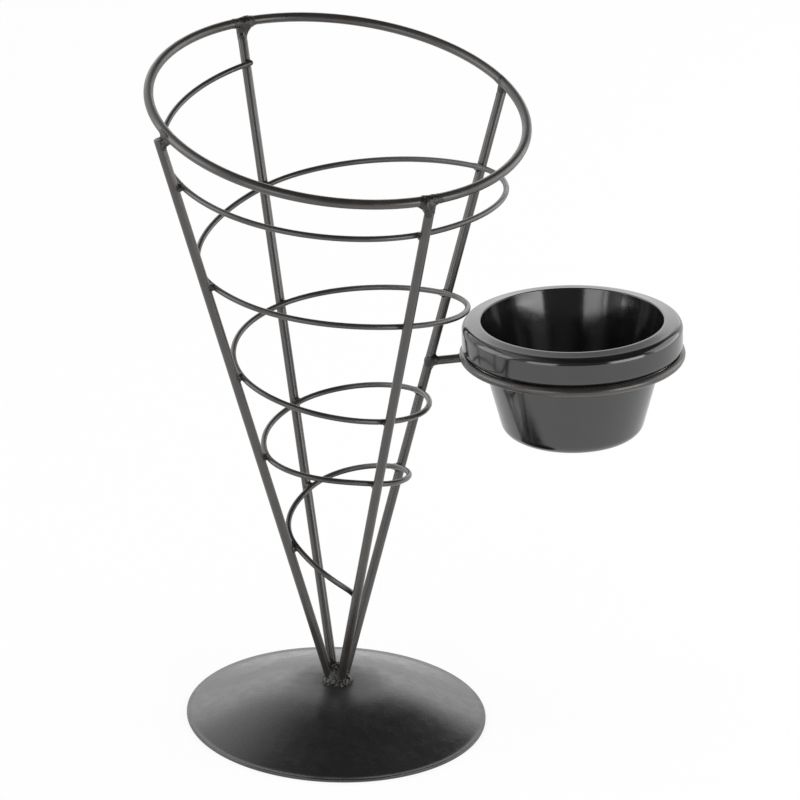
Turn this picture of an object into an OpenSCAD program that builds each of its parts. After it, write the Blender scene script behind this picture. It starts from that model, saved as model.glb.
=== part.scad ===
// Wire cone basket for serving fries, with a ring at its side that holds a sauce cup.
// A slanted rim ring stands on four leaning uprights, which are welded together at the
// middle of a domed base plate. A spiral of thinner wire is welded inside the uprights.
// Lengths are in millimetres and angles in degrees. The origin is at the middle of the
// base at table level, +Z is up and +X points to the sauce cup. Angles are measured
// counterclockwise from +X, seen from above.

/* [Rim ring] */
// Width of the rim ring over its wire
rim_outer_d = 127; // [110:1:145]
// Diameter of the rim ring's wire
rim_wire_d = 3.2; // [2.6:0.1:4]
// Height of the middle of the rim ring above the table
rim_height = 219.8; // [190:0.2:250]
// Slant of the rim ring from level
rim_slant = 13.1; // [0:0.1:18]
// Direction of the rim's low side
rim_low_side = -75.5; // [-120:0.5:-30]
// Distance of the rim's middle from the base's middle, away from the sauce cup
rim_shift = 5.2; // [0:0.1:10]

/* [Uprights] */
// Diameter of the uprights' wire
upright_wire_d = 3.2; // [2.6:0.1:4]
// Directions of the tops seen from the rim's middle: back left, front left, front right, back right
upright_angles = [116, 201.7, 292.2, 381.6]; // [90:0.1:400]
// How far each top stands outside the middle of the rim's wire, in the same order
upright_outsets = [0.1, 2.5, 0.2, 0.7]; // [0:0.1:3]
// How far the set point of each top lies below the middle of the rim's wire
upright_drop = 2.4; // [2:0.1:3.5]
// How far each upright runs on past its set point, up to the rim's wire
upright_runs = [1.2, 0, 1.2, 0.9]; // [0:0.1:1.4]
// Direction of the back right upright's foot, with the others at right angles to it
foot_angle = 20; // [0:1:45]
// Clearance between neighbouring feet
foot_gap = 0.15; // [0.05:0.05:0.6]

/* [Spiral] */
// Diameter of the spiral's wire
spiral_wire_d = 1.9; // [1.5:0.1:2.4]
// First turn from the top: its welds at back left, front left, front right and back right,
// as shares of the upright's length above its foot
turn_1 = [0.951, 0.923, 0.942, 0.873]; // [0.86:0.001:0.96]
// Second turn, in the same order
turn_2 = [0.767, 0.746, 0.761, 0.664]; // [0.66:0.001:0.78]
// Third turn, in the same order
turn_3 = [0.587, 0.585, 0.567, 0.501]; // [0.5:0.001:0.6]
// Fourth turn, in the same order
turn_4 = [0.435, 0.437, 0.436, 0.37]; // [0.36:0.001:0.45]
// Last turn, which ends at the front right upright
turn_5 = [0.303, 0.266, 0.196]; // [0.18:0.001:0.31]
// How much more the spiral widens at the welds of its first turn than an even curve would,
// in millimetres a quarter turn
widening_1 = [13.6, 0.1, -14.4, -22]; // [-24:0.1:16]
// The same for the second turn
widening_2 = [-7.3, -10.5, 4.6, -11.4]; // [-14:0.1:8]
// The same for the third turn
widening_3 = [2, 4.4, 0, 0]; // [-6:0.1:8]
// The same for the fourth turn
widening_4 = [-5.5, 7.8, 9.7, -1.8]; // [-8:0.1:12]
// The same for the last turn
widening_5 = [-2.5, -2.7, -6.8]; // [-10:0.1:6]
// Length of wire past the first and the last weld
spiral_tail = 0.2; // [0.1:0.1:3]

/* [Welds] */
// Gap between welded wires, which the beads bridge
weld_gap = 0.1; // [0.05:0.01:0.2]
// Width of the beads between the spiral and the uprights
spiral_bead_d = 2.7; // [2.2:0.1:3.2]
// Widths of the beads under the rim: back left, front left, front right, back right
rim_bead_d = [5, 4.6, 5.6, 4.8]; // [4.2:0.1:6]
// How far each of them sits to one side of its upright, round the rim
rim_bead_side = [-0.8, 0.2, -1.2, 0.3]; // [-1.5:0.1:1.5]
// Width of the weld at the feet
foot_weld_d = 8; // [7:0.1:9]
// Height of the weld at the feet
foot_weld_h = 5; // [3.5:0.1:6]
// Width of the small beads round the feet
foot_bead_d = 3; // [2:0.1:3.2]
// Width of the beads at the ends of the holder's arm
arm_bead_d = 4.4; // [3.8:0.1:5]
// How far the bead at the upright hangs below the middle of the arm
arm_bead_sag = 0.25; // [0.1:0.05:0.5]

/* [Base plate] */
// Width of the base plate
base_d = 104; // [90:1:120]
// Thickness of the base plate's sheet
base_sheet = 1.2; // [0.8:0.1:2]
// Height of the middle of the base plate's top above the table
base_crown = 13; // [8:0.5:18]
// Width of the flat middle that carries the feet
base_pad_d = 10.4; // [9.6:0.2:16]
// Width at which the curve of the dome runs out into a straight cone
base_curve_d = 70; // [40:1:84]
// Width of the flat land at the edge that stands on the table
base_land = 1.6; // [1:0.1:4]

/* [Cup holder] */
// Width of the holder ring over its wire
holder_outer_d = 76.3; // [70:0.1:86]
// Diameter of the holder's wire
holder_wire_d = 3; // [2.6:0.1:3.6]
// Height of the middle of the holder ring above the table
holder_height = 132.9; // [122:0.1:138]
// Gap between the back right upright and the ring, which the arm spans
holder_arm = 7.9; // [5:0.1:14]
// How far the arm falls on its way from the ring to the upright
holder_arm_fall = 1.5; // [0:0.1:3]
// Lean of the ring from level, with its outer side up
holder_tilt = 3.2; // [0:0.1:5]

/* [Sauce cup] */
// Height of the sauce cup
cup_h = 40.3; // [36:0.1:44]
// How far the lip's edge stands inside the outer edge of the holder ring
cup_lip_inset = 0.9; // [0.4:0.1:1.4]
// Gap between the holder ring and the cup's wall just under the lip
cup_neck_gap = 4.15; // [3:0.05:5]
// Width of the cup's mouth
cup_mouth_d = 61.6; // [56:0.1:64]
// Width of the cup's wall line at the bottom, before its corner is rounded
cup_foot_d = 46.8; // [42:0.1:50]
// Height of the lip
cup_lip_h = 11.3; // [10:0.1:12.5]
// Radius of the lip's lower corner, which rests on the holder ring
cup_lip_r = 3.2; // [2.8:0.1:3.6]
// Radius of the lip's upper corner
cup_rim_r = 2.5; // [1.5:0.1:3]
// How far the lip's top falls from the mouth to its upper corner
cup_rim_fall = 0.5; // [0.2:0.1:1]
// Radius of the cup's bottom corner
cup_corner_r = 5.1; // [4:0.1:8]
// Thickness of the cup's floor
cup_floor = 3; // [2:0.1:4]
// Thickness of the cup's wall, measured level
cup_wall = 3.15; // [2.4:0.05:3.4]
// Clearance between the lip and the holder ring
cup_clearance = 0.05; // [0.02:0.01:0.2]

/* [Hidden] */

wire_colour = [0.13, 0.125, 0.12];
weld_colour = [0.1, 0.095, 0.09];
plate_colour = [0.09, 0.09, 0.09];
cup_colour = [0.02, 0.02, 0.022];

// Sides of the spiral's wire, and steps of the spiral from one upright to the next
spiral_sides = 10;
spiral_steps = 12;

function turned(p, a) = [p.x * cos(a) - p.y * sin(a), p.x * sin(a) + p.y * cos(a), p.z];
function slanted(p, a) = [p.x * cos(a) + p.z * sin(a), p.y, p.z * cos(a) - p.x * sin(a)];
function unit(v) = v / norm(v);
// Angle brought to between -180 and 180
function wrapped(a) = a - 360 * round(a / 360);

// Rim ring: a point of the rim in direction a, moved outwards and up from the wire's middle
rim_r = (rim_outer_d - rim_wire_d) / 2;
rim_middle = [-rim_shift, 0, rim_height];
function rim_point(a, out, up) = rim_middle
    + turned(slanted(turned([rim_r + out, 0, up], a - rim_low_side), rim_slant), rim_low_side);

// Uprights: feet, set points at the rim, and unit vectors along them
upright_r = upright_wire_d / 2;
foot_r = (upright_wire_d + foot_gap) / sqrt(2);
function foot(i) = [foot_r * cos(foot_angle + 90 * (i + 1)), foot_r * sin(foot_angle + 90 * (i + 1)), base_crown];
function top(i) = rim_point(upright_angles[i], upright_outsets[i], -upright_drop);
function along(i) = unit(top(i) - foot(i));
function upright_at(i, share) = foot(i) + (top(i) - foot(i)) * share;
function upright_at_height(i, z) = upright_at(i, (z - base_crown) / (top(i).z - base_crown));

// Spiral: its axis leans from the base's middle to the rim's middle, and it touches the
// inner side of an upright at each weld
spiral_r = spiral_wire_d / 2;
welds = concat(turn_1, turn_2, turn_3, turn_4, turn_5);
widenings = concat(widening_1, widening_2, widening_3, widening_4, widening_5);
last_weld = len(welds) - 1;
function axis_at(z) = [rim_middle.x, rim_middle.y, 0] * (z - base_crown) / (rim_height - base_crown);
function weld_spot(k) = upright_at(k % 4, welds[k]);
function from_axis(p) = [p.x - axis_at(p.z).x, p.y - axis_at(p.z).y];
function inset(i) = (upright_r + spiral_r + weld_gap) / along(i).z;
function rough_turn(k) = upright_angles[k % 4] + 360 * floor(k / 4);
knot_a = [for (k = [0 : last_weld]) let (p = from_axis(weld_spot(k)))
    rough_turn(k) + wrapped(atan2(p.y, p.x) - rough_turn(k))];
knot_z = [for (k = [0 : last_weld]) weld_spot(k).z];
// Even slope of the values v at weld k, per degree
function slope(v, k) = let (a = max(k - 1, 0), b = min(k + 1, last_weld))
    (v[b] - v[a]) / (knot_a[b] - knot_a[a]);
// Slopes of the spiral's radius and height at the welds. Where it passes an upright at a
// slant, it stays a little further inside.
plain_r = [for (k = [0 : last_weld]) norm(from_axis(weld_spot(k))) - inset(k % 4)];
slope_r = [for (k = [0 : last_weld]) slope(plain_r, k) + widenings[k] / 90];
slope_z = [for (k = [0 : last_weld]) slope(knot_z, k)];
knot_r = [for (k = [0 : last_weld]) let (pass = atan(slope_r[k] * 180 / PI / plain_r[k]))
    norm(from_axis(weld_spot(k))) - inset(k % 4) / cos(pass)];
// Smooth value at the share s of the way from weld k to the next one, from the values v at
// the welds and their slopes d
function between(v, d, k, s) = let (h = knot_a[k + 1] - knot_a[k])
    (2 * s ^ 3 - 3 * s ^ 2 + 1) * v[k] + (s ^ 3 - 2 * s ^ 2 + s) * h * d[k]
    + (3 * s ^ 2 - 2 * s ^ 3) * v[k + 1] + (s ^ 3 - s ^ 2) * h * d[k + 1];
function round_axis(a, r, z) = axis_at(z) + [r * cos(a), r * sin(a), z];
// Point of the tail, da degrees past weld k
function tail_point(k, da) = round_axis(knot_a[k] + da, knot_r[k] + da * slope_r[k], knot_z[k] + da * slope_z[k]);
function tail_turn(k) = spiral_tail / knot_r[k] * 180 / PI;
spiral_path = concat(
    [tail_point(0, -tail_turn(0))],
    [for (k = [0 : last_weld - 1], j = [0 : spiral_steps - 1]) let (s = j / spiral_steps)
        round_axis(knot_a[k] + s * (knot_a[k + 1] - knot_a[k]), between(knot_r, slope_r, k, s), between(knot_z, slope_z, k, s))],
    [tail_point(last_weld, 0)],
    [tail_point(last_weld, tail_turn(last_weld))]);
function path_step(n) = let (a = max(n - 1, 0), b = min(n + 1, len(spiral_path) - 1))
    unit(spiral_path[b] - spiral_path[a]);
// Ring of points round the wire at point n of the path
function wire_section(n) = let (t = path_step(n), c = spiral_path[n],
        o = [c.x - axis_at(c.z).x, c.y - axis_at(c.z).y, 0], u = unit(o - (o * t) * t), w = cross(t, u))
    [for (j = [0 : spiral_sides - 1]) let (q = 360 * j / spiral_sides) c + spiral_r * (cos(q) * u + sin(q) * w)];

// Cup holder: the ring's middle is above the X axis. Its plane meets the back right upright
// at ring_root, one arm's span from the ring.
holder_r = (holder_outer_d - holder_wire_d) / 2;
holder_reach = holder_outer_d / 2 + holder_arm + upright_r;
tilt_fall = sin(holder_tilt) * sqrt(holder_reach ^ 2 - upright_at_height(3, holder_height).y ^ 2);
ring_root = upright_at_height(3, holder_height - tilt_fall);
holder_x = ring_root.x + sqrt(holder_reach ^ 2 - ring_root.y ^ 2 - tilt_fall ^ 2);
holder_middle = [holder_x, 0, holder_height];

// Arm: it passes under the ring's wire and ends flush with the inside of the ring
arm_under = holder_wire_d + 1.5 * weld_gap;
arm_cross = holder_middle - unit(holder_middle - ring_root) * holder_r
    - [-sin(holder_tilt), 0, cos(holder_tilt)] * arm_under;
arm_root = upright_at_height(3, ring_root.z - arm_under - holder_arm_fall);
arm_dir = unit(arm_cross - arm_root);
arm_length = norm(arm_cross - arm_root) + holder_wire_d / 2;

// Sauce cup: its lip and neck follow the holder ring, and the lip's round lower corner
// rests on it
cup_lip_d = holder_outer_d - 2 * cup_lip_inset;
cup_neck_r = holder_r - holder_wire_d / 2 - cup_neck_gap;
cup_neck_h = cup_h - cup_lip_h;
lip_corner_r = cup_lip_d / 2 - cup_lip_r;
lip_seat = sqrt((cup_lip_r + holder_wire_d / 2 + cup_clearance) ^ 2 - (holder_r - lip_corner_r) ^ 2);
cup_drop = cup_neck_h + cup_lip_r - lip_seat;
wall_slope = (cup_neck_r - cup_foot_d / 2) / cup_neck_h;
wall_lean = atan(wall_slope);

// Points of an arc round c, from direction a to direction b
function arc(c, r, a, b, n) = [for (j = [0 : n]) c + r * [cos(a + (b - a) * j / n), sin(a + (b - a) * j / n)]];

// Wire from point a on, in direction d
module wire(a, d, length, diameter) {
    translate(a)
        rotate([0, 0, atan2(d.y, d.x)])
            rotate([0, acos(d.z), 0])
                cylinder(h = length, d = diameter, $fn = 40);
}

module wire_ring(radius, diameter) {
    rotate_extrude($fn = 120)
        translate([radius, 0])
            circle(d = diameter, $fn = 40);
}

// Puts things in the plane of the holder ring, with its middle as their origin
module place_holder() {
    translate(holder_middle)
        rotate([0, -holder_tilt, 0])
            children();
}

module place_rim() {
    translate(rim_middle)
        rotate([0, 0, rim_low_side])
            rotate([0, rim_slant, 0])
                children();
}

// Rod along upright i, longer than the upright at its foot
module upright_rod(i) {
    wire(foot(i) - along(i) * upright_wire_d, along(i),
        norm(top(i) - foot(i)) + upright_runs[i] + upright_wire_d, upright_wire_d);
}

// Everything below the base plate's flat middle
module below_pad() {
    translate([-base_pad_d, -base_pad_d, base_crown - 12])
        cube([2 * base_pad_d, 2 * base_pad_d, 12]);
}

// Upright i, cut flat at the plate and round where it meets the rim ring
module upright(i) {
    color(wire_colour)
        difference() {
            upright_rod(i);
            below_pad();
            place_rim() wire_ring(rim_r, rim_wire_d + 2 * weld_gap);
        }
}

module upright_back_left() { upright(0); }

module upright_front_left() { upright(1); }

module upright_front_right() { upright(2); }

module upright_back_right() { upright(3); }

module rim_ring() {
    color(wire_colour)
        place_rim() wire_ring(rim_r, rim_wire_d);
}

module spiral_wire() {
    n = len(spiral_path);
    m = spiral_sides;
    color(wire_colour)
        polyhedron(
            points = [for (i = [0 : n - 1]) each wire_section(i)],
            faces = concat(
                [[for (j = [0 : m - 1]) m - 1 - j]],
                [for (i = [0 : n - 2], j = [0 : m - 1])
                    [i * m + j, i * m + (j + 1) % m, (i + 1) * m + (j + 1) % m, (i + 1) * m + j]],
                [[for (j = [0 : m - 1]) (n - 1) * m + j]]),
            convexity = 10);
}

// Beads under the rim, one at each upright
module rim_welds() {
    color(weld_colour)
        for (i = [0 : 3])
            difference() {
                translate(rim_point(upright_angles[i] + rim_bead_side[i] / rim_r * 180 / PI,
                        upright_outsets[i] / 2, -upright_drop * 0.75))
                    sphere(d = rim_bead_d[i], $fn = 40);
                upright_rod(i);
                place_rim() wire_ring(rim_r, rim_wire_d);
            }
}

// Beads between the spiral and the uprights, one at each crossing
module spiral_welds() {
    color(weld_colour)
        for (k = [0 : last_weld])
            spiral_bead(k, k % 4);
}

module spiral_bead(k, i) {
    c = round_axis(knot_a[k], knot_r[k], knot_z[k]);
    t = path_step(1 + k * spiral_steps);
    p = foot(i) + ((c - foot(i)) * along(i)) * along(i);
    difference() {
        translate(p + unit(c - p) * (upright_r + weld_gap / 2))
            sphere(d = spiral_bead_d, $fn = 32);
        upright_rod(i);
        wire(c - t * spiral_bead_d, t, spiral_bead_d * 2, spiral_wire_d + weld_gap);
    }
}

// Weld at the feet: a lump between the uprights with small beads round it
module foot_weld() {
    color(weld_colour)
        difference() {
            union() {
                translate([0, 0, base_crown])
                    rotate_extrude($fn = 60)
                        polygon(concat([[0, 0]], [for (j = [0 : 8]) [
                            foot_weld_d / 2 * cos(j * 11.25), foot_weld_h * sin(j * 11.25)]]));
                for (i = [0 : 3])
                    translate([0, 0, base_crown + foot_bead_d * 0.2])
                        rotate([0, 0, foot_angle + 45 + 90 * i])
                            translate([foot_weld_d / 2 - foot_bead_d * 0.2, 0, 0])
                                sphere(d = foot_bead_d, $fn = 32);
            }
            for (i = [0 : 3])
                upright_rod(i);
            below_pad();
        }
}

// Domed base plate: flat in the middle, curved, then a straight cone down to the flat land
module base_plate() {
    pad = base_pad_d / 2;
    bend = base_curve_d / 2;
    land = base_d / 2 - base_land;
    fall = (base_crown - base_sheet) / (land - bend + (bend - pad) / 2);
    dome = [for (j = [0 : 12]) let (s = j / 12)
        [pad + (bend - pad) * s, base_crown - fall * (bend - pad) * s ^ 2 / 2]];
    upper = concat([[0, base_crown]], dome, [[land, base_sheet], [base_d / 2, base_sheet]]);
    lower = [for (j = [len(upper) - 1 : -1 : 0]) upper[j] - [0, base_sheet]];
    color(plate_colour)
        rotate_extrude($fn = 120)
            polygon(concat(upper, lower));
}

module cup_ring() {
    color(wire_colour)
        place_holder() wire_ring(holder_r, holder_wire_d);
}

// Arm from the back right upright to the underside of the holder ring
module cup_ring_arm() {
    color(wire_colour)
        difference() {
            wire(arm_root, arm_dir, arm_length, holder_wire_d);
            wire(foot(3), along(3), norm(top(3) - foot(3)), upright_wire_d + 2 * weld_gap);
        }
}

// Beads at both ends of the holder's arm
module cup_ring_welds() {
    color(weld_colour) {
        difference() {
            arm_bead(arm_root + arm_dir * (upright_r + arm_bead_d * 0.1) - [0, 0, arm_bead_sag]);
            upright_rod(3);
            wire(arm_root, arm_dir, arm_length, holder_wire_d);
        }
        difference() {
            arm_bead(arm_cross - arm_dir * arm_bead_d * 0.2 + [0, 0, arm_under / 2]);
            wire(arm_root, arm_dir, arm_length + arm_bead_d, holder_wire_d);
            place_holder() wire_ring(holder_r, holder_wire_d);
        }
    }
}

// Round bead at point p
module arm_bead(p) {
    translate(p)
        rotate([0, 90, 0])
            sphere(d = arm_bead_d, $fn = 40);
}

// Sauce cup: tapered bowl with a tall rounded lip, whose top slopes a little up to the mouth
module sauce_cup() {
    mouth = cup_mouth_d / 2;
    edge = cup_lip_d / 2;
    corner = cup_foot_d / 2 + cup_corner_r * tan(wall_lean) - cup_corner_r / cos(wall_lean);
    inner_r = cup_corner_r - cup_wall / 2;
    inner_foot = cup_foot_d / 2 - cup_wall + cup_floor * wall_slope;
    inner_corner = inner_foot + inner_r * tan(wall_lean) - inner_r / cos(wall_lean);
    profile = concat(
        [[0, 0]],
        arc([corner, cup_corner_r], cup_corner_r, -90, -wall_lean, 6),
        [[cup_neck_r, cup_neck_h]],
        arc([lip_corner_r, cup_neck_h + cup_lip_r], cup_lip_r, -90, 0, 6),
        arc([edge - cup_rim_r, cup_h - cup_rim_fall - cup_rim_r], cup_rim_r, 0, 90, 6),
        [[mouth, cup_h], [cup_neck_r - cup_wall, cup_neck_h]],
        arc([inner_corner, cup_floor + inner_r], inner_r, -wall_lean, -90, 6),
        [[0, cup_floor]]);
    color(cup_colour)
        place_holder()
            translate([0, 0, -cup_drop])
                rotate_extrude($fn = 120)
                    polygon(profile);
}

base_plate();
upright_back_left();
upright_front_left();
upright_front_right();
upright_back_right();
rim_ring();
spiral_wire();
rim_welds();
spiral_welds();
foot_weld();
cup_ring();
cup_ring_arm();
cup_ring_welds();
sauce_cup();
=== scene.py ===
# Looks of the wire cone basket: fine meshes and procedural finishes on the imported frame.
# Pieces are drawn in millimetres and degrees. Finishes, lamps and camera are in metres.
import math

import bpy
import numpy as np
from mathutils import Matrix, Vector


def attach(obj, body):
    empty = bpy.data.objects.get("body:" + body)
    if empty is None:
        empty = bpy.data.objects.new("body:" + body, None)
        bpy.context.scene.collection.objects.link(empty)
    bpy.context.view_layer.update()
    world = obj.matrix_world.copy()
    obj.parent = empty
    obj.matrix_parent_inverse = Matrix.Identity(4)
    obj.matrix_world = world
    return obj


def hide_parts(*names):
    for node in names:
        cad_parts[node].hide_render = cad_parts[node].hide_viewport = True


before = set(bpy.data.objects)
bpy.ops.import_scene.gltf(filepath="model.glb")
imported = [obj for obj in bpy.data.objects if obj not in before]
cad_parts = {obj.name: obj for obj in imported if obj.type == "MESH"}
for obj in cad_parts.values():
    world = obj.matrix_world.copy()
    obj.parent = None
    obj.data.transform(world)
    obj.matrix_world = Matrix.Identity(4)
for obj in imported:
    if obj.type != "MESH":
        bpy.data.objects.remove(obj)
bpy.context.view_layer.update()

# ---------------------------------------------------------------- sizes, as in the part
# The rim ring, to the middle of its wire, and the side on which it is lowest
RIM_R, RIM_WIRE = 61.9, 1.6
RIM_MIDDLE = np.array([-5.2, 0.0, 219.8])
RIM_SLANT, RIM_LOW = 13.1, -75.5

# Uprights: back left, front left, front right, back right. The front left one runs on a
# little further than in the part, up to its free tip.
NAMES = ["upright_back_left", "upright_front_left", "upright_front_right", "upright_back_right"]
ROD = 1.6
ANGLES = [116.0, 201.7, 292.2, 381.6]
OUTSETS = [0.1, 2.5, 0.2, 0.7]
RUNS = [1.2, 0.8, 1.2, 0.9]
DROP = 2.4
CROWN = 13.0
FOOT_ANGLE, FOOT_GAP = 20, 0.15
FOOT_R = (2 * ROD + FOOT_GAP) / math.sqrt(2)

# Spiral, a turn a row from the top: its welds as shares of the uprights, and how much more
# than an even curve it widens there, in millimetres a quarter turn
TURNS = [0.951, 0.923, 0.942, 0.873,
         0.767, 0.746, 0.761, 0.664,
         0.587, 0.585, 0.567, 0.501,
         0.435, 0.437, 0.436, 0.37,
         0.303, 0.266, 0.196]
WIDENINGS = [13.6, 0.1, -14.4, -22,
             -7.3, -10.5, 4.6, -11.4,
             2, 4.4, 0, 0,
             -5.5, 7.8, 9.7, -1.8,
             -2.5, -2.7, -6.8]
SPIRAL = 0.95
TAIL = 0.2
GAP = 0.1
CENTRES = ROD + SPIRAL + GAP

# Base plate: radius, sheet, flat middle, end of the curve and flat land at the edge
BASE_R, SHEET, PAD_R, BEND_R, LAND = 52.0, 1.2, 5.2, 35.0, 1.6

# Cup ring and its arm
HOLDER_R, HOLDER_WIRE = 36.65, 1.5
HOLDER_Z, HOLDER_TILT = 132.9, 3.2
ARM_SPAN, ARM_FALL = 7.9, 1.5

# Sauce cup: radii of its lip, mouth, neck and foot, then roundings
CUP_H, LIP_H = 40.3, 11.3
LIP_R, MOUTH_R, NECK_R, CUP_FOOT_R = 37.25, 30.8, 31.0, 23.4
LIP_LOW, LIP_TOP, LIP_FALL = 3.2, 2.5, 0.5
CORNER, FLOOR, WALL = 5.1, 3.0, 3.15
CUP_CLEARANCE = 0.05


def rad(a):
    return math.radians(a)


def about_z(p, a):
    c, s = math.cos(rad(a)), math.sin(rad(a))
    return np.array([p[0] * c - p[1] * s, p[0] * s + p[1] * c, p[2]])


def about_y(p, a):
    c, s = math.cos(rad(a)), math.sin(rad(a))
    return np.array([p[0] * c + p[2] * s, p[1], p[2] * c - p[0] * s])


def polar(r, a, z):
    return np.array([r * math.cos(rad(a)), r * math.sin(rad(a)), z])


def unit(v):
    return v / np.linalg.norm(v)


def rim_turn(p):
    return about_z(about_y(p, RIM_SLANT), RIM_LOW)


def rim_point(a, out, up):
    return RIM_MIDDLE + rim_turn(about_z([RIM_R + out, 0, up], a - RIM_LOW))


FEET = [polar(FOOT_R, FOOT_ANGLE + 90 * (i + 1), CROWN) for i in range(4)]
TOPS = [rim_point(ANGLES[i], OUTSETS[i], -DROP) for i in range(4)]
ALONG = [unit(TOPS[i] - FEET[i]) for i in range(4)]
ENDS = [TOPS[i] + ALONG[i] * RUNS[i] for i in range(4)]
RIM_AXIS = rim_turn([0, 0, 1.0])


def rod_at(i, z):
    return FEET[i] + (TOPS[i] - FEET[i]) * (z - CROWN) / (TOPS[i][2] - CROWN)


def axis_at(z):
    return RIM_MIDDLE[:2] * (z - CROWN) / (RIM_MIDDLE[2] - CROWN)


# ---------------------------------------------------------------- spiral
STEPS = 36  # from weld to weld

# Angle, radius and height of each weld round the leaning axis
knots = []
for k, share in enumerate(TURNS):
    spot = FEET[k % 4] + (TOPS[k % 4] - FEET[k % 4]) * share
    off = spot[:2] - axis_at(spot[2])
    rough = ANGLES[k % 4] + 360 * (k // 4)
    more = math.degrees(math.atan2(off[1], off[0])) - rough
    angle = rough + more - 360 * round(more / 360)
    knots.append([angle, np.hypot(*off) - CENTRES / ALONG[k % 4][2], spot[2]])
knots = np.array(knots)
LAST = len(knots) - 1
slopes = []
for k in range(LAST + 1):
    a, b = max(k - 1, 0), min(k + 1, LAST)
    even = (knots[b, 1:] - knots[a, 1:]) / (knots[b, 0] - knots[a, 0])
    slopes.append(even + [WIDENINGS[k] / 90, 0])
# Where the wire passes an upright at a slant, it stays a little further inside
for k in range(LAST + 1):
    inset = CENTRES / ALONG[k % 4][2]
    slant = math.atan(slopes[k][0] * 180 / math.pi / knots[k, 1])
    knots[k, 1] += inset - inset / math.cos(slant)


def round_axis(a, r, z):
    return polar(r, a, z) + [*axis_at(z), 0]


def spiral_at(k, s):
    h = knots[k + 1, 0] - knots[k, 0]
    v = ((2 * s ** 3 - 3 * s ** 2 + 1) * knots[k, 1:] + (s ** 3 - 2 * s ** 2 + s) * h * slopes[k]
         + (3 * s ** 2 - 2 * s ** 3) * knots[k + 1, 1:] + (s ** 3 - s ** 2) * h * slopes[k + 1])
    return round_axis(knots[k, 0] + s * h, v[0], v[1])


def spiral_tail(k, share):
    """Point of the tail, a share of its length past weld k, which is minus before the first."""
    turned = math.degrees(TAIL / knots[k, 1]) * share
    v = knots[k, 1:] + turned * slopes[k]
    return round_axis(knots[k, 0] + turned, v[0], v[1])


spiral_path = [spiral_tail(0, -share) for share in (1, 0.5)]
KNOT_INDEX = [len(spiral_path) + k * STEPS for k in range(LAST + 1)]
spiral_path += [spiral_at(k, j / STEPS) for k in range(LAST) for j in range(STEPS)]
spiral_path += [spiral_tail(LAST, share) for share in (0, 0.5, 1)]
spiral_path = np.array(spiral_path)

# ---------------------------------------------------------------- cup holder
tilt = rad(HOLDER_TILT)
reach = HOLDER_R + HOLDER_WIRE + ARM_SPAN + ROD
fall = math.sin(tilt) * math.sqrt(reach ** 2 - rod_at(3, HOLDER_Z)[1] ** 2)
ring_root = rod_at(3, HOLDER_Z - fall)
holder_x = ring_root[0] + math.sqrt(reach ** 2 - ring_root[1] ** 2 - fall ** 2)
HOLDER = np.array([holder_x, 0, HOLDER_Z])
HOLDER_UP = np.array([-math.sin(tilt), 0, math.cos(tilt)])
HOLDER_OUT = np.array([math.cos(tilt), 0, math.sin(tilt)])
ARM_UNDER = 2 * HOLDER_WIRE + 1.5 * GAP
ARM_CROSS = HOLDER - unit(HOLDER - ring_root) * HOLDER_R - HOLDER_UP * ARM_UNDER
ARM_ROOT = rod_at(3, ring_root[2] - ARM_UNDER - ARM_FALL)
ARM_DIR = unit(ARM_CROSS - ARM_ROOT)
ARM_END = ARM_CROSS + ARM_DIR * HOLDER_WIRE
NECK_H = CUP_H - LIP_H
SEAT = math.sqrt((LIP_LOW + HOLDER_WIRE + CUP_CLEARANCE) ** 2 - (HOLDER_R - LIP_R + LIP_LOW) ** 2)
CUP_ORIGIN = HOLDER - HOLDER_UP * (NECK_H + LIP_LOW - SEAT)


# ---------------------------------------------------------------- meshes
def make_mesh(name, points, faces, material, smooth=True):
    mesh = bpy.data.meshes.new(name)
    faces = [list(map(int, f)) for f in faces]
    mesh.from_pydata((np.asarray(points) * 0.001).tolist(), [], faces)
    mesh.validate()
    mesh.update()
    if smooth:
        mesh.shade_smooth()
    obj = bpy.data.objects.new(name, mesh)
    bpy.context.scene.collection.objects.link(obj)
    mesh.materials.append(material)
    return obj


def add_piece(node, shape, material):
    """Fine mesh in place of a node of the frame."""
    obj = make_mesh(node + "_fine", *shape, material)
    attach(obj, "root")
    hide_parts(node)


def grid_faces(rows, cols, close_rows=False):
    """Quads over rows of points, each row a closed loop."""
    faces = []
    for i in range(rows if close_rows else rows - 1):
        a, b = i * cols, ((i + 1) % rows) * cols
        for j in range(cols):
            q = (j + 1) % cols
            faces.append((a + j, a + q, b + q, b + j))
    return faces


def full_turn(steps):
    return np.arange(steps) * 2 * math.pi / steps


def tube(path, radii, sides, up=(0, 0, 1.0)):
    """Round tube along a path with its ends closed. The radii may change along it."""
    path = np.asarray(path, float)
    n = len(path)
    radii = np.broadcast_to(np.asarray(radii, float), (n,))
    step = np.gradient(path, axis=0)
    step /= np.linalg.norm(step, axis=1)[:, None]
    side = unit(np.cross(step[0], np.asarray(up, float)))
    turn = full_turn(sides)
    points = []
    for i in range(n):
        side = unit(side - step[i] * (side @ step[i]))
        other = np.cross(step[i], side)
        out = np.cos(turn)[:, None] * side + np.sin(turn)[:, None] * other
        points.append(path[i] + radii[i] * out)
    base = (n - 1) * sides
    faces = grid_faces(n, sides)
    faces += [tuple(range(sides - 1, -1, -1)), tuple(base + j for j in range(sides))]
    return np.concatenate(points), faces


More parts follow.
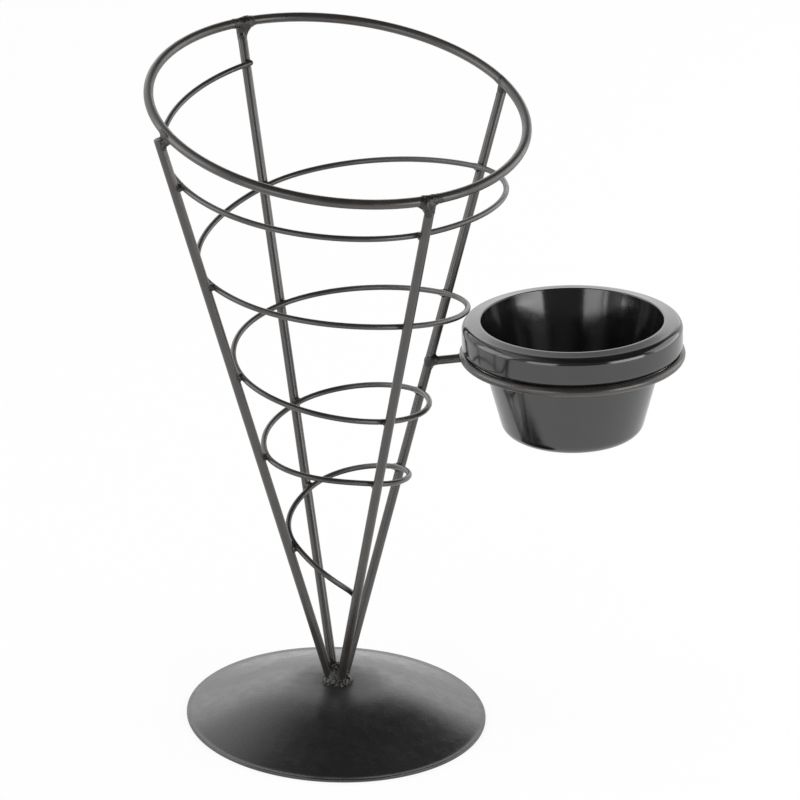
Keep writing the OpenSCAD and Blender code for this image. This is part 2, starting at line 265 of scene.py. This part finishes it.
def rod(start, end, radius, bevel=0.25):
    """Straight wire with its cut ends a little rounded."""
    d = unit(end - start)
    long = np.linalg.norm(end - start)
    first = [(bevel * (1 - math.cos(t)), radius - bevel * (1 - math.sin(t)))
             for t in np.linspace(0, math.pi / 2, 4)]
    last = [(long - a, r) for a, r in reversed(first)]
    middle = [(bevel + (long - 2 * bevel) * s, radius) for s in np.linspace(0, 1, 9)[1:-1]]
    line = first + middle + last
    return tube([start + d * a for a, _ in line], [r for _, r in line], 40, up=(0.3, 0.9, 0.1))


def ring(middle, axis, radius, wire, segments, sides=32):
    u = unit(np.cross(axis, [0.0, 1.0, 0.1]))
    w = np.cross(axis, u)
    a, b = full_turn(segments), full_turn(sides)
    out = np.cos(a)[:, None] * u + np.sin(a)[:, None] * w
    points = (middle + out[:, None, :] * (radius + wire * np.cos(b))[None, :, None]
              + axis * (wire * np.sin(b))[None, :, None])
    return points.reshape(-1, 3), grid_faces(segments, sides, close_rows=True)


def revolved(profile, segments):
    """Solid of revolution round Z from a half profile that starts and ends on the axis."""
    profile = np.asarray(profile, float)
    r, z = profile[1:-1].T
    m = len(r)
    a = full_turn(segments)[:, None]
    body = np.stack([r * np.cos(a), r * np.sin(a), np.broadcast_to(z, (segments, m))], 2)
    points = np.concatenate([[[0, 0, profile[0][1]], [0, 0, profile[-1][1]]], body.reshape(-1, 3)])
    starts = [(2 + i * m, 2 + ((i + 1) % segments) * m) for i in range(segments)]
    faces = [(p + j, q + j, q + j + 1, p + j + 1) for p, q in starts for j in range(m - 1)]
    faces += [(0, q, p) for p, q in starts]
    faces += [(1, p + m - 1, q + m - 1) for p, q in starts]
    return points, faces


def arc(cx, cy, r, a, b, n):
    turns = [rad(a + (b - a) * j / n) for j in range(n + 1)]
    return [(cx + r * math.cos(t), cy + r * math.sin(t)) for t in turns]


def line(start, end, steps):
    """Points of a straight line, from one step after its start up to its end."""
    return [(start[0] + (end[0] - start[0]) * s, start[1] + (end[1] - start[1]) * s)
            for s in np.linspace(0, 1, steps + 1)[1:]]


def joined(parts):
    points, faces, base = [], [], 0
    for p, f in parts:
        points.append(np.asarray(p))
        faces += [tuple(base + q for q in face) for face in f]
        base += len(p)
    return np.concatenate(points), faces


# ---------------------------------------------------------------- weld fields
WELD_STEP, SPOT_STEP = 0.15, 0.14  # grids of the weld meshes
WELDED_LENGTH = 14  # how much of an upright its end welds take in
BRIDGE_R, BRIDGE_FILLET = 1.15, 1.8


def near_point(p, spot):
    return np.linalg.norm(p - spot, axis=-1)


def near_line(p, a, b):
    d = b - a
    t = np.clip(((p - a) @ d) / (d @ d), 0, 1)
    return np.linalg.norm(p - a - t[..., None] * d, axis=-1)


def near_path(p, path):
    best = np.full(p.shape[:-1], 1e9)
    for a, b in zip(path[:-1], path[1:]):
        best = np.minimum(best, near_line(p, a, b))
    return best


def near_ring(p, middle, axis, radius):
    q = p - middle
    h = q @ axis
    flat = np.linalg.norm(q - h[..., None] * axis, axis=-1)
    return np.hypot(flat - radius, h)


def melt(a, b, k):
    """Smallest of two distances with a fillet of about k between them."""
    h = np.clip(0.5 + 0.5 * (b - a) / k, 0, 1)
    return b * (1 - h) + a * h - k * h * (1 - h)


def ripple(p, seed, size):
    """Smooth seeded noise of about -1 to 1 with lumps of the given size."""
    rng = np.random.default_rng(seed)
    total = np.zeros(p.shape[:-1])
    for _ in range(14):
        d = rng.normal(size=3)
        d *= 2 * math.pi / (size * rng.uniform(0.7, 1.6) * np.linalg.norm(d))
        total += np.cos(p @ d + rng.uniform(0, 2 * math.pi))
    return total / 3.2


def lumpy(d, p, seed, lump, height, skin):
    """Distance to an uneven skin of weld metal, from the distance d to what is under it."""
    return d + height * ripple(p, seed, lump) - skin


def thinning(p, middle, reach, by):
    """What is added to a distance to make weld metal thin out away from its middle."""
    return by * (near_point(p, middle) / reach) ** 2.2


def surface(field, middle, half, step):
    """Mesh of the surface where a field is zero, in a box round middle, as points and quads."""
    half = np.broadcast_to(np.asarray(half, float), (3,))
    counts = np.ceil(2 * half / step).astype(int) + 1
    axes = [middle[i] - half[i] + np.arange(counts[i]) * step for i in range(3)]
    v = field(np.stack(np.meshgrid(*axes, indexing="ij"), -1))
    # Nothing of the surface reaches the sides of the box
    for side in range(3):
        edge = [slice(None)] * 3
        for end in (0, -1):
            edge[side] = end
            v[tuple(edge)] = np.maximum(v[tuple(edge)], 0.05)
    # A point in each cell that the surface cuts, at the middle of the cuts of its edges
    cells = tuple(c - 1 for c in counts)
    where = np.zeros(cells + (3,))
    count = np.zeros(cells)
    for axis in range(3):
        others = [q for q in range(3) if q != axis]
        for da in (0, 1):
            for db in (0, 1):
                low = [slice(0, cells[q]) for q in range(3)]
                low[others[0]] = slice(da, cells[others[0]] + da)
                low[others[1]] = slice(db, cells[others[1]] + db)
                high = list(low)
                high[axis] = slice(1, cells[axis] + 1)
                a, b = v[tuple(low)], v[tuple(high)]
                cut = (a < 0) != (b < 0)
                add = np.zeros(cells + (3,))
                add[..., axis] = np.where(cut, a / np.where(cut, a - b, 1), 0)
                add[..., others[0]] = da
                add[..., others[1]] = db
                where += add * cut[..., None]
                count += cut
    live = count > 0
    index = np.full(cells, -1)
    index[live] = np.arange(live.sum())
    at = np.argwhere(live) + where[live] / count[live][:, None]
    points = np.stack([axes[i][0] + at[:, i] * step for i in range(3)], 1)
    # A quad across each edge of the grid that the surface cuts
    faces = []
    for axis in range(3):
        b, c = [(1, 2), (2, 0), (0, 1)][axis]
        low = [slice(1, cells[q]) for q in range(3)]
        low[axis] = slice(0, cells[axis])
        high = list(low)
        high[axis] = slice(1, cells[axis] + 1)
        s0, s1 = v[tuple(low)] < 0, v[tuple(high)] < 0
        corner = np.argwhere(s0 != s1)
        corner[:, b] += 1
        corner[:, c] += 1

        def cell(db, dc):
            q = corner.copy()
            q[:, b] -= db
            q[:, c] -= dc
            return index[q[:, 0], q[:, 1], q[:, 2]]

        quad = np.stack([cell(1, 1), cell(0, 1), cell(0, 0), cell(1, 0)], 1)
        outwards = s0[s0 != s1]
        quad[~outwards] = quad[~outwards][:, ::-1]
        faces.append(quad)
    return points, np.concatenate(faces)


# ---------------------------------------------------------------- finishes
BUMP_DEPTH = 0.00012
SPECK_COLOUR = (0.32, 0.32, 0.31, 1)


def fill(tree, socket, value):
    """Links a socket to an output, or writes a plain value into it."""
    if isinstance(value, bpy.types.NodeSocket):
        tree.links.new(value, socket)
    else:
        socket.default_value = value


def add_node(tree, kind, **inputs):
    node = tree.nodes.new(kind)
    for key, value in inputs.items():
        fill(tree, node.inputs[key.replace("_", " ")], value)
    return node


def calculate(tree, operation, *values, kind="ShaderNodeMath"):
    node = tree.nodes.new(kind)
    node.operation = operation
    for socket, value in zip(node.inputs, values):
        fill(tree, socket, value)
    return node


def mix_shaders(tree, share, first, second):
    node = tree.nodes.new("ShaderNodeMixShader")
    for socket, value in zip(node.inputs, (share, first.outputs[0], second.outputs[0])):
        tree.links.new(value, socket)
    return node


def coat(name, colour, other, rough, rough_other, bump, grain, ior,
         specks=0.0, speck_size=0.0, streaks=0.0, dull=None):
    """Painted surface: mottled colour, uneven gloss and a fine orange peel. Dull gives two
    distances from the middle, between which an added roughness dies away."""
    mat = bpy.data.materials.new(name)
    mat.use_nodes = True
    tree = mat.node_tree
    tree.nodes.clear()
    coord = tree.nodes.new("ShaderNodeTexCoord").outputs["Object"]

    def noise(scale, detail, stretch=None):
        at = coord
        if stretch:
            at = add_node(tree, "ShaderNodeMapping", Vector=coord, Scale=stretch).outputs[0]
        clouds = add_node(tree, "ShaderNodeTexNoise", Vector=at, Scale=scale, Detail=detail)
        return clouds.outputs[0]

    def ramp(source, low, high, a, b):
        return add_node(tree, "ShaderNodeMapRange", Value=source, From_Min=low, From_Max=high,
                        To_Min=a, To_Max=b).outputs[0]

    def mix(share, a, b):
        node = tree.nodes.new("ShaderNodeMix")
        node.data_type = "RGBA"
        for key, value in (("Factor", share), ("A", a), ("B", b)):
            fill(tree, node.inputs[key], value)
        return node.outputs["Result"]

    tone = mix(ramp(noise(140.0, 5.0), 0.35, 0.65, 0, 1), (*colour, 1), (*other, 1))
    gloss = ramp(noise(260.0, 3.0), 0.35, 0.65, rough, rough_other)
    if dull:
        near, far, extra = dull
        flat = calculate(tree, "MULTIPLY", coord, (1, 1, 0), kind="ShaderNodeVectorMath")
        away = calculate(tree, "LENGTH", flat.outputs[0], kind="ShaderNodeVectorMath")
        more = ramp(away.outputs["Value"], near, far, extra, 0.0)
        gloss = calculate(tree, "ADD", more, gloss).outputs[0]
    height = noise(grain, 3.0)
    if streaks:
        lines = noise(1.0, 4.0, stretch=(35.0, 1500.0, 1500.0))
        height = calculate(tree, "MULTIPLY_ADD", lines, streaks, height).outputs[0]
        pale = (*(min(1, c * 2.2) for c in colour), 1)
        tone = mix(ramp(lines, 0.5, 0.75, 0, 0.2), tone, pale)
    if specks:
        dots = add_node(tree, "ShaderNodeTexVoronoi", Vector=coord, Scale=speck_size)
        close = ramp(dots.outputs["Distance"], 0.05, 0.11, 1, 0)
        lucky = ramp(noise(90.0, 2.0), 0.50, 0.66, 0, specks)
        tone = mix(calculate(tree, "MULTIPLY", close, lucky).outputs[0], tone, SPECK_COLOUR)
    peel = add_node(tree, "ShaderNodeBump", Strength=bump, Distance=BUMP_DEPTH, Height=height)
    paint = add_node(tree, "ShaderNodeBsdfPrincipled", Base_Color=tone, Roughness=gloss, IOR=ior,
                     Normal=peel.outputs[0])
    add_node(tree, "ShaderNodeOutputMaterial", Surface=paint.outputs[0])
    return mat


wire_mat = coat("wire_coat", (0.024, 0.0205, 0.018), (0.034, 0.030, 0.027), 0.26, 0.34, 0.16,
                grain=1500.0, ior=1.75)
weld_mat = coat("weld_coat", (0.010, 0.009, 0.008), (0.018, 0.0155, 0.014), 0.24, 0.42, 0.6,
                grain=1300.0, ior=1.55)
base_mat = coat("base_coat", (0.010, 0.0098, 0.0098), (0.0135, 0.013, 0.0125), 0.22, 0.29, 0.15,
                grain=1700.0, ior=1.75, specks=0.5, speck_size=1100.0, streaks=1.3,
                dull=(0.005, 0.020, 0.30))
cup_mat = coat("cup_glaze", (0.006, 0.006, 0.007), (0.009, 0.009, 0.010), 0.11, 0.16, 0.02,
               grain=300.0, ior=1.8)

# ---------------------------------------------------------------- base plate
EDGE = 0.35  # rounding of the cut edge
land = BASE_R - LAND
slope = (CROWN - SHEET) / (land - BEND_R + (BEND_R - PAD_R) / 2)
upper = [(0.0, CROWN), (1.5, CROWN), (3.5, CROWN)]
upper += [(PAD_R + (BEND_R - PAD_R) * s, CROWN - slope * (BEND_R - PAD_R) * s ** 2 / 2)
          for s in np.linspace(0, 1, 40)]
upper += line(upper[-1], (land, SHEET), 11)[:-1]
lower = [(r, z - SHEET) for r, z in reversed(upper)]
# The bend into the flat land, and the land's own top and underside
upper += [(land - 0.7, SHEET + 0.7 * slope), (land - 0.2, SHEET + 0.1), (land + 0.4, SHEET)]
lower = [(land + 0.4, 0.0), (land, 0.0)] + lower
rim = arc(BASE_R - EDGE, SHEET - EDGE, EDGE, 90, 0, 5)
rim += arc(BASE_R - EDGE, EDGE, EDGE, 0, -90, 5)
profile = [(r, max(z, 0.0)) for r, z in upper + rim + lower]
add_piece("base_plate", revolved(profile[::-1], 320), base_mat)

# ---------------------------------------------------------------- wires
for i, name in enumerate(NAMES):
    add_piece(name, rod(FEET[i] + ALONG[i] * 0.45, ENDS[i], ROD), wire_mat)
rim_wire = ring(RIM_MIDDLE, RIM_AXIS, RIM_R, RIM_WIRE, 288)
add_piece("rim_ring", rim_wire, wire_mat)
add_piece("spiral_wire", tube(spiral_path, SPIRAL, 20), wire_mat)
holder_wire = ring(HOLDER, HOLDER_UP, HOLDER_R, HOLDER_WIRE, 224)
add_piece("cup_ring", holder_wire, wire_mat)
arm_wire = rod(ARM_ROOT + ARM_DIR * (ROD * 0.6), ARM_END, HOLDER_WIRE)
add_piece("cup_ring_arm", arm_wire, wire_mat)

# ---------------------------------------------------------------- sauce cup
NECK_FILLET = 0.9
MOUTH_EDGE = 0.35  # rounding between the lip and the inside
HOLLOW = 0.25  # depth of the underside inside its standing ring
rise = (NECK_R - CUP_FOOT_R) / NECK_H
lean = math.degrees(math.atan(rise))
corner = CUP_FOOT_R + CORNER * rise - CORNER / math.cos(rad(lean))
inner_r = CORNER - WALL / 2
inner_foot = CUP_FOOT_R - WALL + FLOOR * rise
inner_corner = inner_foot + inner_r * rise - inner_r / math.cos(rad(lean))
top_z = CUP_H - LIP_FALL
cup = [(0, HOLLOW), (corner - 2.2, HOLLOW), (corner - 1.6, 0.0)]
cup += arc(corner, CORNER, CORNER, -90, -lean, 16)
cup += line(cup[-1], (NECK_R - NECK_FILLET * 0.25, NECK_H - NECK_FILLET), 7)
cup += [(NECK_R + 0.05, NECK_H - 0.32), (NECK_R + 0.35, NECK_H - 0.08), (NECK_R + 0.9, NECK_H)]
cup += arc(LIP_R - LIP_LOW, NECK_H + LIP_LOW, LIP_LOW, -90, 0, 14)
cup += arc(LIP_R - LIP_TOP, top_z - LIP_TOP, LIP_TOP, 0, 88, 14)
cup += line((LIP_R - LIP_TOP, top_z), (MOUTH_R + MOUTH_EDGE, top_z + LIP_FALL), 5)
cup += arc(MOUTH_R + MOUTH_EDGE, CUP_H - MOUTH_EDGE, MOUTH_EDGE, 90, 180, 5)[1:]
floor_arc = arc(inner_corner, FLOOR + inner_r, inner_r, -lean, -90, 12)
cup += line((MOUTH_R, CUP_H - MOUTH_EDGE), floor_arc[0], 11)[:-1] + floor_arc
cup += [(inner_corner * 0.5, FLOOR), (0, FLOOR)]
cup_points, cup_faces = revolved(cup, 288)
across = np.cross(HOLDER_UP, HOLDER_OUT)
cup_points = CUP_ORIGIN + cup_points @ np.stack([HOLDER_OUT, across, HOLDER_UP])
add_piece("sauce_cup", (cup_points, cup_faces), cup_mat)


# ---------------------------------------------------------------- welds under the rim
def rim_weld(i, wide, side, size, seed, lumps=(), bridge=None):
    """Uneven fillet between an upright's top and the ring: wide gives its size, side how that
    changes along the ring and size how far it reaches. Each lump has a place along, outside
    and above the joint, a radius and a fillet. A bridge runs from a free tip to the ring, so
    many degrees further on."""
    joint = rim_point(ANGLES[i], OUTSETS[i] * 0.5, -DROP * 0.6)
    tangent = unit(np.cross(RIM_AXIS, joint - RIM_MIDDLE))
    outward = unit(joint - RIM_MIDDLE)
    end, along = ENDS[i], ALONG[i]

    def field(p):
        k = np.clip(wide + side * ((p - joint) @ tangent), 0.35, 5.0)
        upright = near_line(p, end - along * WELDED_LENGTH, end - along * 0.9) - ROD
        d = melt(upright, near_ring(p, RIM_MIDDLE, RIM_AXIS, RIM_R) - RIM_WIRE, k)
        for at, r, fillet in lumps:
            spot = joint + tangent * at[0] + outward * at[1] + RIM_AXIS * at[2]
            d = melt(d, near_point(p, spot) - r, fillet)
        if bridge:
            landing = rim_point(ANGLES[i] + bridge, 0.3, -0.8)
            d = melt(d, near_line(p, end - along * 1.5, landing) - BRIDGE_R, BRIDGE_FILLET)
        d = lumpy(d, p, seed, lump=1.3, height=0.06, skin=0.14)
        d = d + thinning(p, joint, reach=size, by=0.42)
        if bridge:
            # Bare wire at the free tip, and nothing above the ring's own top
            out = (p - end) @ outward
            past = np.maximum((p - end) @ along + 0.25, 0.35 * out)
            above = (p - RIM_MIDDLE) @ RIM_AXIS - 1.1
            d = np.maximum(d, np.where(out > -1.0, past, above))
        return d

    return surface(field, joint, 8.0, WELD_STEP)


front_lumps = [((-2.0, 0.5, 0.7), 1.6, 1.2), ((-0.9, -0.4, -1.4), 1.2, 1.6)]
rim_welds = [rim_weld(0, wide=2.6, side=-1.3, size=7.0, seed=11),
             rim_weld(1, wide=2.2, side=1.0, size=5.6, seed=12, bridge=1.5),
             rim_weld(2, wide=1.5, side=-1.2, size=6.8, seed=13, lumps=front_lumps),
             rim_weld(3, wide=0.9, side=0.0, size=5.5, seed=14)]
add_piece("rim_welds", joined(rim_welds), weld_mat)


# ---------------------------------------------------------------- welds of the spiral
def spiral_weld(k):
    upright_foot, along = FEET[k % 4], ALONG[k % 4]
    at = KNOT_INDEX[k]
    c = spiral_path[at]
    last = len(spiral_path) - 1
    local = spiral_path[max(at - 8, 0):at + 9:2]
    foot = upright_foot + along * ((c - upright_foot) @ along)
    contact = foot + unit(c - foot) * (ROD + GAP / 2)
    tangent = unit(spiral_path[min(at + 1, last)] - spiral_path[at - 1])
    rng = np.random.default_rng(100 + k)
    lump = contact + tangent * rng.uniform(-0.7, 0.7) + along * rng.uniform(-0.6, 0.4)
    fillet = rng.uniform(0.7, 1.15)
    lump_r = rng.uniform(0.9, 1.15)

    def field(p):
        upright = near_line(p, foot - along * 5, foot + along * 5) - ROD
        d = melt(upright, near_path(p, local) - SPIRAL, fillet)
        d = melt(d, near_point(p, lump) - lump_r, 0.7)
        d = lumpy(d, p, 200 + k, lump=0.9, height=0.05, skin=0.09)
        return d + thinning(p, contact, reach=3.0, by=0.34)

    return surface(field, contact, 3.4, SPOT_STEP)


spiral_welds = [spiral_weld(k) for k in range(LAST + 1)]
add_piece("spiral_welds", joined(spiral_welds), weld_mat)

# ---------------------------------------------------------------- weld at the feet
# Beads: angle, distance from the middle, radius and height above the plate
FOOT_BEADS = [(65, 3.6, 1.5, 0.5), (155, 3.6, 1.4, 0.6), (335, 3.9, 1.6, 0.5),
              (0, 0.2, 2.2, 3.6), (202, 4.3, 1.5, 0.4), (228, 3.9, 1.4, 0.5),
              (250, 3.7, 1.8, 0.7), (272, 4.3, 1.5, 0.4), (297, 4.5, 1.4, 0.4),
              (245, 3.1, 1.9, 2.0), (246, 2.5, 1.8, 4.0), (250, 1.6, 1.5, 5.8),
              (60, 1.6, 1.4, 5.0)]


def foot_field(p):
    rods = [near_line(p, FEET[i] - ALONG[i], FEET[i] + ALONG[i] * WELDED_LENGTH) - ROD
            for i in range(4)]
    d = rods[0]
    for upright in rods[1:]:
        d = melt(d, upright, 0.9)
    d = melt(d, np.abs(p[..., 2] - CROWN + 0.4) - 0.35, 1.5)
    for a, r, bead, z in FOOT_BEADS:
        d = melt(d, near_point(p, polar(r, a, CROWN + z)) - bead, 0.8)
    flat = np.hypot(p[..., 0], p[..., 1])
    rho = np.sqrt((flat / 6.3) ** 2 + (np.maximum(p[..., 2] - CROWN, 0) / 8.2) ** 2)
    return lumpy(d, p, 31, lump=1.2, height=0.09, skin=0.16) + 0.5 * rho ** 4


foot_weld = surface(foot_field, np.array([0, 0, CROWN + 4.2]), (7.0, 7.0, 5.2), WELD_STEP)
add_piece("foot_weld", foot_weld, weld_mat)


# ---------------------------------------------------------------- welds of the holder's arm
def arm_weld(middle, other, seed):
    def field(p):
        d = melt(near_line(p, ARM_ROOT, ARM_END - ARM_DIR * 0.6) - HOLDER_WIRE, other(p), 1.5)
        d = lumpy(d, p, seed, lump=1.2, height=0.07, skin=0.12)
        return d + thinning(p, middle, reach=4.0, by=0.4)

    return surface(field, middle, 5.5, WELD_STEP)


def on_upright(p):
    return near_line(p, ARM_ROOT - ALONG[3] * 8, ARM_ROOT + ALONG[3] * 8) - ROD


def on_holder(p):
    return near_ring(p, HOLDER, HOLDER_UP, HOLDER_R) - HOLDER_WIRE


arm_welds = [arm_weld(ARM_ROOT + ARM_DIR * ROD, on_upright, 41),
             arm_weld(ARM_CROSS + HOLDER_UP * ARM_UNDER / 2, on_holder, 42)]
add_piece("cup_ring_welds", joined(arm_welds), weld_mat)

# ---------------------------------------------------------------- floor
WHITE = (1, 1, 1, 1)
FLOOR_WHITE = (0.94, 0.94, 0.94, 1)
FLOOR_GLOW, GLOW_SHARE = 1.04, 0.82
FLOOR_HALF = 4000.0

# White where it is seen, directly or in the object, and matte under the object's shadow
floor_mat = bpy.data.materials.new("studio_floor")
floor_mat.use_nodes = True
tree = floor_mat.node_tree
tree.nodes.clear()
ray = tree.nodes.new("ShaderNodeLightPath").outputs
seen = calculate(tree, "MAXIMUM", ray["Is Camera Ray"], ray["Is Glossy Ray"])
seen = calculate(tree, "MAXIMUM", seen.outputs[0], ray["Is Transmission Ray"])
share = calculate(tree, "MULTIPLY", seen.outputs[0], GLOW_SHARE)
matte = add_node(tree, "ShaderNodeBsdfDiffuse", Color=FLOOR_WHITE)
glow = add_node(tree, "ShaderNodeEmission", Color=WHITE, Strength=FLOOR_GLOW)
blend = mix_shaders(tree, share.outputs[0], matte, glow)
add_node(tree, "ShaderNodeOutputMaterial", Surface=blend.outputs[0])
corners = [(x * FLOOR_HALF, y * FLOOR_HALF, 0) for x, y in ((-1, -1), (1, -1), (1, 1), (-1, 1))]
make_mesh("studio_floor", corners, [(0, 1, 2, 3)], floor_mat, smooth=False)

# ---------------------------------------------------------------- world
# White behind the object, half as bright for its matte side, and darker at the front and
# overhead for its gloss
MATTE_LIGHT = 0.5
world = bpy.data.worlds.new("studio")
bpy.context.scene.world = world
world.use_nodes = True
tree = world.node_tree
tree.nodes.clear()
ray = tree.nodes.new("ShaderNodeLightPath").outputs
heading = tree.nodes.new("ShaderNodeTexCoord").outputs["Generated"]


def fade(direction, low, high, bottom):
    """1 away from a direction, falling smoothly to bottom towards it."""
    direction = tuple(unit(np.array(direction, float)))
    facing = calculate(tree, "DOT_PRODUCT", heading, direction, kind="ShaderNodeVectorMath")
    curve = add_node(tree, "ShaderNodeMapRange", Value=facing.outputs["Value"], From_Min=low,
                     From_Max=high, To_Min=1.0, To_Max=bottom)
    curve.interpolation_type = "SMOOTHSTEP"
    return curve.outputs[0]


dark_front = fade((-0.10, -0.95, 0.35), 0.15, 0.85, 0.12)
dark_above = fade((0.5, 0.0, 1.0), 0.42, 0.78, 0.05)
dark = calculate(tree, "MULTIPLY", dark_front, dark_above)
room = add_node(tree, "ShaderNodeBackground", Color=WHITE, Strength=dark.outputs[0])
soft = add_node(tree, "ShaderNodeBackground", Color=WHITE, Strength=MATTE_LIGHT)
white = add_node(tree, "ShaderNodeBackground", Color=WHITE, Strength=1.0)
lit = mix_shaders(tree, ray["Is Glossy Ray"], soft, room)
lit = mix_shaders(tree, ray["Is Camera Ray"], lit, white)
add_node(tree, "ShaderNodeOutputWorld", Surface=lit.outputs[0])

# ---------------------------------------------------------------- lamps
# Name, place, point that it faces, width, height and radiance
SOFTBOXES = [
    ("soft_left", (-1.05, 0.15, 0.50), (0, 0, 0.12), 1.0, 0.8, 1.6),
    ("soft_right", (1.05, 0.25, 0.50), (0.03, 0, 0.12), 1.0, 0.8, 1.6),
    ("soft_back", (0.15, 1.35, 0.58), (0, 0, 0.12), 1.7, 0.55, 0.75),
    ("soft_front_right", (0.86, -0.74, 0.32), (0.07, 0, 0.12), 0.75, 0.55, 3.2),
    ("soft_front_left", (-0.65, -0.82, 0.34), (0.07, 0, 0.12), 0.6, 0.55, 2.2),
]
for name, at, look, wide, high, radiance in SOFTBOXES:
    data = bpy.data.lights.new(name, "AREA")
    data.shape = "RECTANGLE"
    data.size, data.size_y = wide, high
    data.energy = radiance * math.pi * wide * high
    lamp = bpy.data.objects.new(name, data)
    bpy.context.scene.collection.objects.link(lamp)
    lamp.location = at
    lamp.rotation_euler = (Vector(look) - Vector(at)).to_track_quat("-Z", "Y").to_euler()

# ---------------------------------------------------------------- camera
PICTURE = 800  # pixels a side
FOCAL, SHIFT = 3510.12, 0.38  # pixels
SENSOR = 36.0  # millimetres
right = Vector((0.99034, -0.13462, 0.03322))
forward = Vector((0.13747, 0.92193, -0.36214)).normalized()
up = right.cross(forward).normalized()
right = forward.cross(up).normalized()
data = bpy.data.cameras.new("camera")
data.sensor_width = SENSOR
data.sensor_fit = "HORIZONTAL"
data.lens = FOCAL / PICTURE * SENSOR
data.clip_start, data.clip_end = 0.05, 50.0
data.shift_x, data.shift_y = -SHIFT / PICTURE, SHIFT / PICTURE
camera = bpy.data.objects.new("camera", data)
bpy.context.scene.collection.objects.link(camera)
turn = Matrix((right, up, -forward)).transposed()
camera.matrix_world = Matrix.Translation(Vector((-0.1440, -1.0905, 0.5451))) @ turn.to_4x4()
bpy.context.scene.camera = camera
bpy.context.scene.view_settings.view_transform = "Standard"
